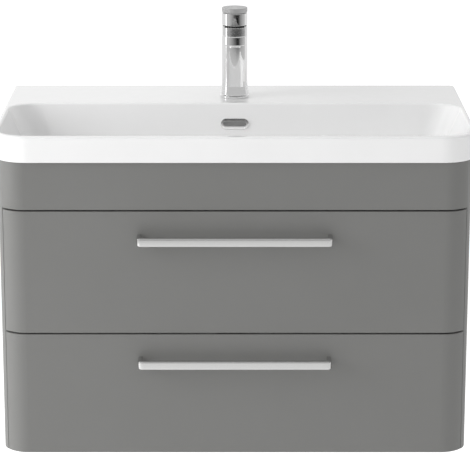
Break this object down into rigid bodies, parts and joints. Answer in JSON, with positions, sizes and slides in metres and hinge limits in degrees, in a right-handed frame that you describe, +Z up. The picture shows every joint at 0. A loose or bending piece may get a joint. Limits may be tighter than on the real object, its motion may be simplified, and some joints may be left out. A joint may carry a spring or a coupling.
{
  "type": "bathroom vanity cabinet",
  "caption": "Wall-hung bathroom vanity: a rounded-front drawer cabinet under a wide ceramic basin with a raised ledge, mixer tap, waste and trap.",
  "frame": {"origin": "on the wall plane, on the centre line, at the underside of the cabinet", "axes": "+Z up, +Y into the wall, so the fronts face -Y, +X to the right seen from the front"},
  "size_m": [0.81, 0.478, 0.717],
  "materials": {
    "front_lacquer": "satin lacquer",
    "side_lacquer": "satin lacquer",
    "carcass_board": "melamine",
    "drawer_board": "melamine",
    "surround_plastic": "matt",
    "handle_metal": "satin",
    "runner_steel": "zinc plated",
    "zinc_steel": "zinc plated",
    "hanger_metal": "painted",
    "basin_ceramic": "gloss glaze",
    "washer_rubber": "matt",
    "nut_plastic": "matt",
    "tap_brass": "plain",
    "cartridge_plastic": "matt",
    "trap_chrome": "polished",
    "cap_satin": "knurled satin",
    "chrome": "polished"
  },
  "bodies": {
    "carcass": {"side_panel_right": "side_lacquer", "side_panel_left": "side_lacquer", "bottom_panel": "carcass_board", "top_fascia": "front_lacquer", "front_stretcher": "carcass_board", "rear_top_rail": "carcass_board", "rear_bottom_rail": "carcass_board", "hanger_right": "hanger_metal", "hanger_left": "hanger_metal", "wall_plate_right": "zinc_steel", "wall_plate_left": "zinc_steel", "basin": "basin_ceramic", "overflow_ring": "chrome", "waste_body": "chrome", "waste_washer": "washer_rubber", "waste_nut": "nut_plastic", "trap_body": "trap_chrome", "trap_inlet_nut": "trap_chrome", "trap_outlet_pipe": "trap_chrome", "tap_base_ring": "chrome", "tap_body": "chrome", "tap_aerator": "chrome", "tap_cartridge": "cartridge_plastic", "tap_nut": "tap_brass", "upper_runner_outer_right": "runner_steel", "upper_runner_outer_left": "runner_steel", "lower_runner_outer_right": "runner_steel", "lower_runner_outer_left": "runner_steel"},
    "upper_drawer": {"upper_front": "front_lacquer", "upper_side_right": "drawer_board", "upper_side_left": "drawer_board", "upper_bottom": "drawer_board", "upper_back_right": "drawer_board", "upper_back_left": "drawer_board", "upper_trap_surround": "surround_plastic", "upper_handle": "handle_metal", "upper_handle_screw_right": "zinc_steel", "upper_handle_screw_left": "zinc_steel", "upper_runner_inner_right": "runner_steel", "upper_runner_inner_left": "runner_steel"},
    "lower_drawer": {"lower_front": "front_lacquer", "lower_side_right": "drawer_board", "lower_side_left": "drawer_board", "lower_bottom": "drawer_board", "lower_back": "drawer_board", "lower_handle": "handle_metal", "lower_handle_screw_right": "zinc_steel", "lower_handle_screw_left": "zinc_steel", "lower_runner_inner_right": "runner_steel", "lower_runner_inner_left": "runner_steel"},
    "waste_plug": {"waste_plug": "chrome"},
    "tap_handle": {"tap_handle": "chrome", "tap_cap": "cap_satin"},
    "upper_runner_middle_right": {"upper_runner_middle_right": "runner_steel"},
    "upper_runner_middle_left": {"upper_runner_middle_left": "runner_steel"},
    "lower_runner_middle_right": {"lower_runner_middle_right": "runner_steel"},
    "lower_runner_middle_left": {"lower_runner_middle_left": "runner_steel"}
  },
  "joints": [
    {"name": "upper_drawer_slide", "type": "slide", "parent": "carcass", "child": "upper_drawer", "axis": [0, -1, 0], "range_m": [0, 0.34]},
    {"name": "upper_runner_right_slide", "type": "slide", "parent": "carcass", "child": "upper_runner_middle_right", "axis": [0, -1, 0], "range_m": [0, 0.17]},
    {"name": "upper_runner_left_slide", "type": "slide", "parent": "carcass", "child": "upper_runner_middle_left", "axis": [0, -1, 0], "range_m": [0, 0.17]},
    {"name": "lower_drawer_slide", "type": "slide", "parent": "carcass", "child": "lower_drawer", "axis": [0, -1, 0], "range_m": [0, 0.34]},
    {"name": "lower_runner_right_slide", "type": "slide", "parent": "carcass", "child": "lower_runner_middle_right", "axis": [0, -1, 0], "range_m": [0, 0.17]},
    {"name": "lower_runner_left_slide", "type": "slide", "parent": "carcass", "child": "lower_runner_middle_left", "axis": [0, -1, 0], "range_m": [0, 0.17]},
    {"name": "waste_plug_slide", "type": "slide", "parent": "carcass", "child": "waste_plug", "axis": [0, 0, 1], "range_m": [0, 0.008]},
    {"name": "tap_handle_turn", "type": "hinge", "parent": "carcass", "child": "tap_handle", "pos_m": [0, -0.108, 0.7], "axis": [0, 0, 1], "range_deg": [-90, 0]}
  ],
  "couplings": [
    {"joint": "upper_runner_right_slide", "follows": "upper_drawer_slide", "ratio": 0.5},
    {"joint": "upper_runner_left_slide", "follows": "upper_drawer_slide", "ratio": 0.5},
    {"joint": "lower_runner_right_slide", "follows": "lower_drawer_slide", "ratio": 0.5},
    {"joint": "lower_runner_left_slide", "follows": "lower_drawer_slide", "ratio": 0.5}
  ]
}
